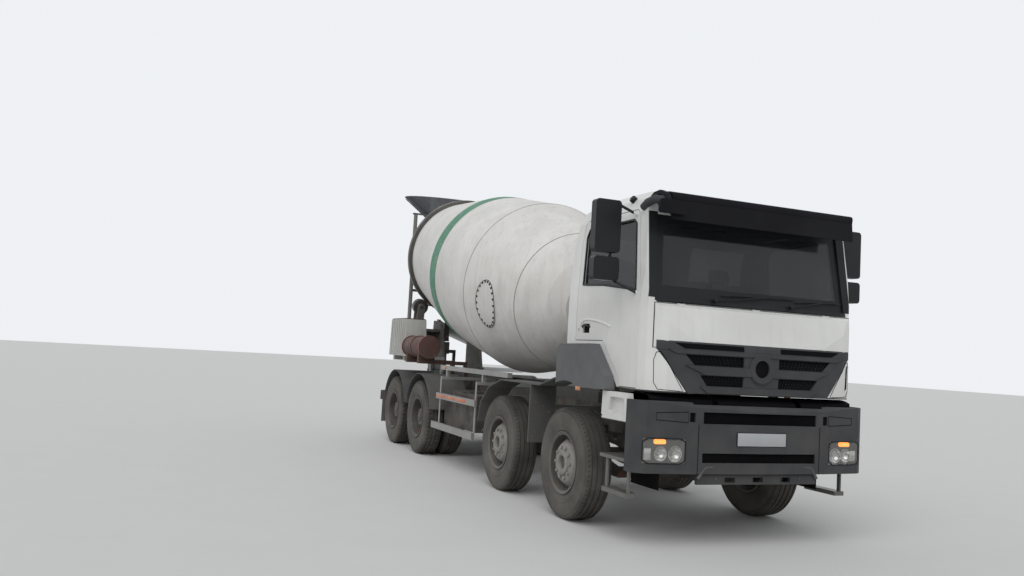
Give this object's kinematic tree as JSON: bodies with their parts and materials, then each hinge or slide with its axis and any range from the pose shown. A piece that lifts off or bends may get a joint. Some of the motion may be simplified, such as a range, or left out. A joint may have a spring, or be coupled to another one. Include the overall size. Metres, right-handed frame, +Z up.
{
  "type": "concrete mixer truck",
  "caption": "Heavy truck with a tilting forward-control cab, twin steered front axles, a twin-wheel rear bogie and an inclined turning mixer drum with hopper and swivelling chute.",
  "frame": {"origin": "on the ground under the middle of the whole truck", "axes": "+X to the vehicle's left, +Y to its rear, +Z up"},
  "size_m": [3.022, 9.508, 4.3],
  "materials": {
    "painted_white": "dusty white paint",
    "painted_drum": "worn light grey paint",
    "painted_dark": "dark grey paint",
    "painted_brown": "dull brown paint",
    "grey_plastic": "textured dark grey plastic",
    "rubber_tyre": "dusty tyre rubber",
    "steel_rim": "dusty grey paint",
    "worn_steel": "worn bare steel",
    "aluminium": "dull aluminium",
    "tinted_glass": "tinted glass",
    "lamp_lens": "clear lens",
    "cab_trim": "dark trim",
    "seat_cloth": "dark seat cloth"
  },
  "bodies": {
    "chassis": {"frame_rails": "painted_dark", "mixer_subframe": "painted_drum", "drum_gearbox": "painted_dark", "engine_block": "painted_dark", "front_axle_beams": "painted_dark", "rear_axles": "painted_dark", "leaf_springs": "painted_dark", "bumper": "grey_plastic", "lamps": "lamp_lens", "entry_steps": "painted_white", "front_fenders": "grey_plastic", "rear_fenders": "grey_plastic", "fuel_tank": "aluminium", "side_boxes": "painted_dark", "side_guards": "aluminium", "tail_bar": "painted_dark", "water_tank": "painted_drum", "additive_drum": "painted_brown", "ladder": "worn_steel", "hopper": "painted_dark"},
    "cab": {"cab_shell": "painted_white", "cab_flares": "grey_plastic", "sun_visor": "grey_plastic", "windscreen": "tinted_glass", "dashboard": "cab_trim", "seats": "seat_cloth"},
    "front_flap": {"front_panel": "painted_white", "grille": "grey_plastic"},
    "door_left": {"door_left": "painted_white", "glass_left": "tinted_glass"},
    "door_right": {"door_right": "painted_white", "glass_right": "tinted_glass"},
    "drum": {"drum_shell": "painted_drum", "drum_cone": "painted_drum", "drum_track": "worn_steel"},
    "roller_left": {"roller_left": "painted_dark"},
    "roller_right": {"roller_right": "painted_dark"},
    "chute_turret": {"chute_swivel": "painted_dark"},
    "chute": {"chute_main": "worn_steel"},
    "chute_tip": {"chute_extension": "worn_steel"},
    "knuckle_1_left": {"knuckle_1_left": "painted_dark"},
    "wheel_1_left": {"tyre_1_left": "rubber_tyre", "rim_1_left": "steel_rim"},
    "knuckle_1_right": {"knuckle_1_right": "painted_dark"},
    "wheel_1_right": {"tyre_1_right": "rubber_tyre", "rim_1_right": "steel_rim"},
    "knuckle_2_left": {"knuckle_2_left": "painted_dark"},
    "wheel_2_left": {"tyre_2_left": "rubber_tyre", "rim_2_left": "steel_rim"},
    "knuckle_2_right": {"knuckle_2_right": "painted_dark"},
    "wheel_2_right": {"tyre_2_right": "rubber_tyre", "rim_2_right": "steel_rim"},
    "wheel_3_left": {"tyres_3_left": "rubber_tyre", "rims_3_left": "steel_rim"},
    "wheel_3_right": {"tyres_3_right": "rubber_tyre", "rims_3_right": "steel_rim"},
    "wheel_4_left": {"tyres_4_left": "rubber_tyre", "rims_4_left": "steel_rim"},
    "wheel_4_right": {"tyres_4_right": "rubber_tyre", "rims_4_right": "steel_rim"}
  },
  "joints": [
    {"name": "cab_tilt", "type": "hinge", "parent": "chassis", "child": "cab", "pos_m": [0, -4.496, 1], "axis": [1, 0, 0], "range_deg": [0, 55]},
    {"name": "flap_open", "type": "hinge", "parent": "cab", "child": "front_flap", "pos_m": [0, -4.6047, 2.0875], "axis": [-1, 0, 0], "range_deg": [0, 70]},
    {"name": "door_left_open", "type": "hinge", "parent": "cab", "child": "door_left", "pos_m": [1.125, -4.456, 2], "axis": [0, 0, -1], "range_deg": [0, 70]},
    {"name": "door_right_open", "type": "hinge", "parent": "cab", "child": "door_right", "pos_m": [-1.125, -4.456, 2], "axis": [0, 0, 1], "range_deg": [0, 70]},
    {"name": "drum_turn", "type": "hinge", "parent": "chassis", "child": "drum", "pos_m": [0, -1.038, 2.267], "axis": [0, 0.9806, 0.1959], "continuous": true},
    {"name": "roller_left_turn", "type": "hinge", "parent": "chassis", "child": "roller_left", "pos_m": [0.70881, 3.65452, 2.27949], "axis": [0, 0.9806, 0.1959], "continuous": true},
    {"name": "roller_right_turn", "type": "hinge", "parent": "chassis", "child": "roller_right", "pos_m": [-0.70881, 3.65452, 2.27949], "axis": [0, 0.9806, 0.1959], "continuous": true},
    {"name": "chute_swing", "type": "hinge", "parent": "chassis", "child": "chute_turret", "pos_m": [0, 4.504, 1.8], "axis": [0, 0, 1], "range_deg": [0, 180]},
    {"name": "chute_raise", "type": "hinge", "parent": "chute_turret", "child": "chute", "pos_m": [0, 4.504, 2.08], "axis": [0, 1, 0], "range_deg": [-15, 15]},
    {"name": "chute_fold", "type": "hinge", "parent": "chute", "child": "chute_tip", "pos_m": [1.06057, 4.504, 1.70462], "axis": [0, 1, 0], "range_deg": [0, 180]},
    {"name": "steer_1_left", "type": "hinge", "parent": "chassis", "child": "knuckle_1_left", "pos_m": [0.9, -3.296, 0.54], "axis": [0, 0, 1], "range_deg": [-34, 34]},
    {"name": "wheel_1_left_roll", "type": "hinge", "parent": "knuckle_1_left", "child": "wheel_1_left", "pos_m": [1.095, -3.296, 0.54], "axis": [1, 0, 0], "continuous": true},
    {"name": "steer_1_right", "type": "hinge", "parent": "chassis", "child": "knuckle_1_right", "pos_m": [-0.9, -3.296, 0.54], "axis": [0, 0, 1], "range_deg": [-34, 34]},
    {"name": "wheel_1_right_roll", "type": "hinge", "parent": "knuckle_1_right", "child": "wheel_1_right", "pos_m": [-1.095, -3.296, 0.54], "axis": [1, 0, 0], "continuous": true},
    {"name": "steer_2_left", "type": "hinge", "parent": "chassis", "child": "knuckle_2_left", "pos_m": [0.9, -1.596, 0.54], "axis": [0, 0, 1], "range_deg": [-24, 24]},
    {"name": "wheel_2_left_roll", "type": "hinge", "parent": "knuckle_2_left", "child": "wheel_2_left", "pos_m": [1.095, -1.596, 0.54], "axis": [1, 0, 0], "continuous": true},
    {"name": "steer_2_right", "type": "hinge", "parent": "chassis", "child": "knuckle_2_right", "pos_m": [-0.9, -1.596, 0.54], "axis": [0, 0, 1], "range_deg": [-24, 24]},
    {"name": "wheel_2_right_roll", "type": "hinge", "parent": "knuckle_2_right", "child": "wheel_2_right", "pos_m": [-1.095, -1.596, 0.54], "axis": [1, 0, 0], "continuous": true},
    {"name": "wheel_3_left_roll", "type": "hinge", "parent": "chassis", "child": "wheel_3_left", "pos_m": [0.935, 1.704, 0.54], "axis": [1, 0, 0], "continuous": true},
    {"name": "wheel_3_right_roll", "type": "hinge", "parent": "chassis", "child": "wheel_3_right", "pos_m": [-0.935, 1.704, 0.54], "axis": [1, 0, 0], "continuous": true},
    {"name": "wheel_4_left_roll", "type": "hinge", "parent": "chassis", "child": "wheel_4_left", "pos_m": [0.935, 3.054, 0.54], "axis": [1, 0, 0], "continuous": true},
    {"name": "wheel_4_right_roll", "type": "hinge", "parent": "chassis", "child": "wheel_4_right", "pos_m": [-0.935, 3.054, 0.54], "axis": [1, 0, 0], "continuous": true}
  ],
  "couplings": [
    {"joint": "steer_1_right", "follows": "steer_1_left", "ratio": 1},
    {"joint": "steer_2_left", "follows": "steer_1_left", "ratio": 0.7},
    {"joint": "steer_2_right", "follows": "steer_1_left", "ratio": 0.7},
    {"joint": "roller_left_turn", "follows": "drum_turn", "ratio": -7.8538},
    {"joint": "roller_right_turn", "follows": "drum_turn", "ratio": -7.8538}
  ]
}
